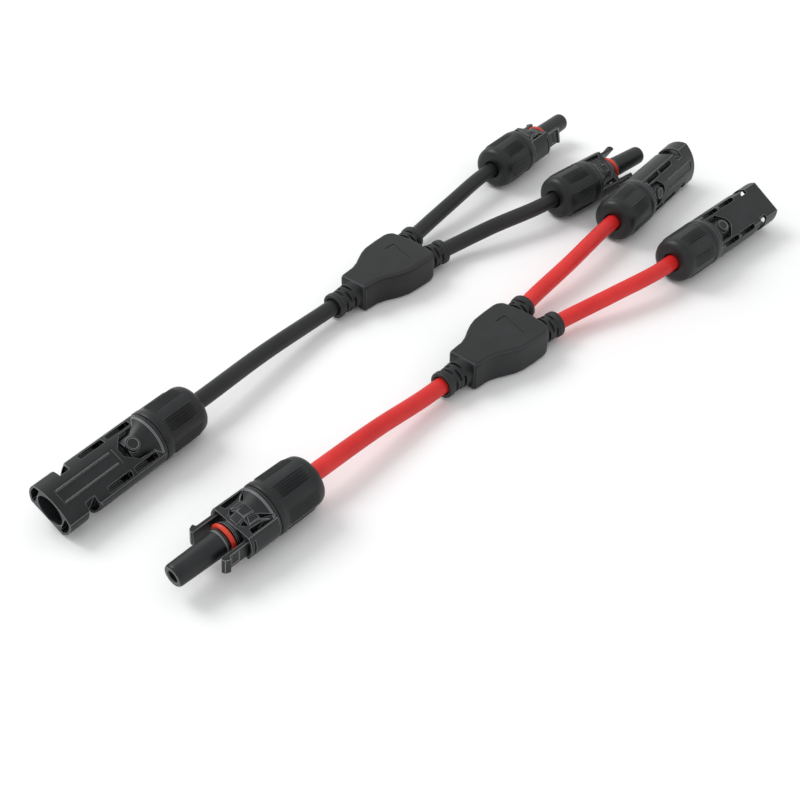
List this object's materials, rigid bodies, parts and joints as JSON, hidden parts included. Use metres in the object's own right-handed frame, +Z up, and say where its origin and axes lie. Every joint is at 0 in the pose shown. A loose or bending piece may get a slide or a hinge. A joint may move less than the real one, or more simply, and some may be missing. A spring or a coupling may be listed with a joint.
{
  "type": "solar cable connector",
  "caption": "Matched pair of Y-branch solar panel leads, one red and one black, with latching round plug and socket connectors, cap nuts and flat moulded Y junctions.",
  "frame": {"origin": "bottom centre of the pair's box, measured without the cables", "axes": "+X from the trunk connectors towards the branch connectors; +Z up from the surface that the leads lie on; the red lead lies towards -Y"},
  "size_m": [0.314, 0.1212, 0.0189],
  "materials": {
    "black_plastic": "semi-matte moulded, fine grain",
    "black_rubber": "matte overmould",
    "red_sheath": "satin",
    "black_sheath": "satin",
    "orange_rubber": "satin",
    "grey_rubber": "matte",
    "nylon": "matte",
    "tinned_copper": "tin plated, bright",
    "bare_copper": "bare copper strands"
  },
  "bodies": {
    "red_lead": {"red_plug_housing": "black_plastic", "red_plug_seal": "grey_rubber", "red_plug_wire_end": "bare_copper", "red_plug_o_ring": "orange_rubber", "red_plug_contact": "tinned_copper", "red_socket_a_housing": "black_plastic", "red_socket_a_seal": "grey_rubber", "red_socket_a_wire_end": "bare_copper", "red_socket_a_pin": "tinned_copper", "red_socket_b_housing": "black_plastic", "red_socket_b_seal": "grey_rubber", "red_socket_b_wire_end": "bare_copper", "red_socket_b_pin": "tinned_copper", "red_junction_overmould": "black_rubber", "red_junction_splice": "tinned_copper", "red_junction_joined_wires": "bare_copper", "red_trunk_cable": "red_sheath", "red_branch_a_cable": "red_sheath", "red_branch_b_cable": "red_sheath"},
    "black_lead": {"black_socket_housing": "black_plastic", "black_socket_seal": "grey_rubber", "black_socket_wire_end": "bare_copper", "black_socket_pin": "tinned_copper", "black_plug_a_housing": "black_plastic", "black_plug_a_seal": "grey_rubber", "black_plug_a_wire_end": "bare_copper", "black_plug_a_o_ring": "orange_rubber", "black_plug_a_contact": "tinned_copper", "black_plug_b_housing": "black_plastic", "black_plug_b_seal": "grey_rubber", "black_plug_b_wire_end": "bare_copper", "black_plug_b_o_ring": "orange_rubber", "black_plug_b_contact": "tinned_copper", "black_junction_overmould": "black_rubber", "black_junction_splice": "tinned_copper", "black_junction_joined_wires": "bare_copper", "black_trunk_cable": "black_sheath", "black_branch_a_cable": "black_sheath", "black_branch_b_cable": "black_sheath"},
    "red_plug_collet_body": {"red_plug_collet": "nylon"},
    "red_plug_nut_body": {"red_plug_nut": "black_plastic"},
    "red_plug_latch_left_body": {"red_plug_latch_left": "black_plastic"},
    "red_plug_latch_right_body": {"red_plug_latch_right": "black_plastic"},
    "red_socket_a_collet_body": {"red_socket_a_collet": "nylon"},
    "red_socket_a_nut_body": {"red_socket_a_nut": "black_plastic"},
    "red_socket_b_collet_body": {"red_socket_b_collet": "nylon"},
    "red_socket_b_nut_body": {"red_socket_b_nut": "black_plastic"},
    "black_socket_collet_body": {"black_socket_collet": "nylon"},
    "black_socket_nut_body": {"black_socket_nut": "black_plastic"},
    "black_plug_a_collet_body": {"black_plug_a_collet": "nylon"},
    "black_plug_a_nut_body": {"black_plug_a_nut": "black_plastic"},
    "black_plug_a_latch_left_body": {"black_plug_a_latch_left": "black_plastic"},
    "black_plug_a_latch_right_body": {"black_plug_a_latch_right": "black_plastic"},
    "black_plug_b_collet_body": {"black_plug_b_collet": "nylon"},
    "black_plug_b_nut_body": {"black_plug_b_nut": "black_plastic"},
    "black_plug_b_latch_left_body": {"black_plug_b_latch_left": "black_plastic"},
    "black_plug_b_latch_right_body": {"black_plug_b_latch_right": "black_plastic"}
  },
  "joints": [
    {"name": "red_plug_collet_slide", "type": "slide", "parent": "red_lead", "child": "red_plug_collet_body", "axis": [0.9999, 0.0105, 0], "range_m": [0, 0.01]},
    {"name": "red_plug_nut_turn", "type": "hinge", "parent": "red_plug_collet_body", "child": "red_plug_nut_body", "pos_m": [-0.11194, -0.03039, 0.0095], "axis": [0.9999, 0.0105, 0], "range_deg": [0, 1800]},
    {"name": "red_plug_latch_left_bend", "type": "hinge", "parent": "red_lead", "child": "red_plug_latch_left_body", "pos_m": [-0.11647, -0.03732, 0.00853], "axis": [-0.0015, 0.1392, -0.9903], "range_deg": [0, 3.5], "stiffness_Nm_per_rad": 0.2},
    {"name": "red_plug_latch_right_bend", "type": "hinge", "parent": "red_lead", "child": "red_plug_latch_right_body", "pos_m": [-0.11661, -0.02356, 0.01047], "axis": [0.0015, -0.1392, 0.9903], "range_deg": [0, 3.5], "stiffness_Nm_per_rad": 0.2},
    {"name": "red_socket_a_collet_slide", "type": "slide", "parent": "red_lead", "child": "red_socket_a_collet_body", "axis": [-0.9947, -0.1028, 0], "range_m": [0, 0.01]},
    {"name": "red_socket_a_nut_turn", "type": "hinge", "parent": "red_socket_a_collet_body", "child": "red_socket_a_nut_body", "pos_m": [0.11556, -0.01269, 0.0095], "axis": [-0.9947, -0.1028, 0], "range_deg": [0, 1800]},
    {"name": "red_socket_b_collet_slide", "type": "slide", "parent": "red_lead", "child": "red_socket_b_collet_body", "axis": [-0.9991, 0.0419, 0], "range_m": [0, 0.01]},
    {"name": "red_socket_b_nut_turn", "type": "hinge", "parent": "red_socket_b_collet_body", "child": "red_socket_b_nut_body", "pos_m": [0.10766, -0.04949, 0.0095], "axis": [-0.9991, 0.0419, 0], "range_deg": [0, 1800]},
    {"name": "black_socket_collet_slide", "type": "slide", "parent": "black_lead", "child": "black_socket_collet_body", "axis": [0.9957, 0.0924, 0], "range_m": [0, 0.01]},
    {"name": "black_socket_nut_turn", "type": "hinge", "parent": "black_socket_collet_body", "child": "black_socket_nut_body", "pos_m": [-0.11534, 0.02141, 0.0095], "axis": [0.9957, 0.0924, 0], "range_deg": [0, 1800]},
    {"name": "black_plug_a_collet_slide", "type": "slide", "parent": "black_lead", "child": "black_plug_a_collet_body", "axis": [-0.9972, -0.075, 0], "range_m": [0, 0.01]},
    {"name": "black_plug_a_nut_turn", "type": "hinge", "parent": "black_plug_a_collet_body", "child": "black_plug_a_nut_body", "pos_m": [0.11416, 0.04991, 0.0095], "axis": [-0.9972, -0.075, 0], "range_deg": [0, 1800]},
    {"name": "black_plug_a_latch_left_bend", "type": "hinge", "parent": "black_lead", "child": "black_plug_a_latch_left_body", "pos_m": [0.11824, 0.05703, 0.00805], "axis": [0.0156, -0.2073, -0.9781], "range_deg": [0, 3.5], "stiffness_Nm_per_rad": 0.2},
    {"name": "black_plug_a_latch_right_bend", "type": "hinge", "parent": "black_lead", "child": "black_plug_a_latch_right_body", "pos_m": [0.11926, 0.04347, 0.01094], "axis": [-0.0156, 0.2073, 0.9781], "range_deg": [0, 3.5], "stiffness_Nm_per_rad": 0.2},
    {"name": "black_plug_b_collet_slide", "type": "slide", "parent": "black_lead", "child": "black_plug_b_collet_body", "axis": [-0.9965, 0.0837, 0], "range_m": [0, 0.01]},
    {"name": "black_plug_b_nut_turn", "type": "hinge", "parent": "black_plug_b_collet_body", "child": "black_plug_b_nut_body", "pos_m": [0.11316, 0.01191, 0.0095], "axis": [-0.9965, 0.0837, 0], "range_deg": [0, 1800]},
    {"name": "black_plug_b_latch_left_bend", "type": "hinge", "parent": "black_lead", "child": "black_plug_b_latch_left_body", "pos_m": [0.11824, 0.01739, 0.01318], "axis": [0.0443, 0.5281, -0.848], "range_deg": [0, 3.5], "stiffness_Nm_per_rad": 0.2},
    {"name": "black_plug_b_latch_right_bend", "type": "hinge", "parent": "black_lead", "child": "black_plug_b_latch_right_body", "pos_m": [0.11725, 0.00565, 0.00582], "axis": [-0.0443, -0.5281, 0.848], "range_deg": [0, 3.5], "stiffness_Nm_per_rad": 0.2},
    {"name": "black_lead_lift", "type": "slide", "parent": "red_lead", "child": "black_lead", "axis": [0, 0, 1], "range_m": [0, 0.06]}
  ],
  "couplings": [
    {"joint": "red_plug_collet_slide", "follows": "red_plug_nut_turn", "m_per_rad": 0.00031831},
    {"joint": "red_socket_a_collet_slide", "follows": "red_socket_a_nut_turn", "m_per_rad": 0.00031831},
    {"joint": "red_socket_b_collet_slide", "follows": "red_socket_b_nut_turn", "m_per_rad": 0.00031831},
    {"joint": "black_socket_collet_slide", "follows": "black_socket_nut_turn", "m_per_rad": 0.00031831},
    {"joint": "black_plug_a_collet_slide", "follows": "black_plug_a_nut_turn", "m_per_rad": 0.00031831},
    {"joint": "black_plug_b_collet_slide", "follows": "black_plug_b_nut_turn", "m_per_rad": 0.00031831}
  ]
}
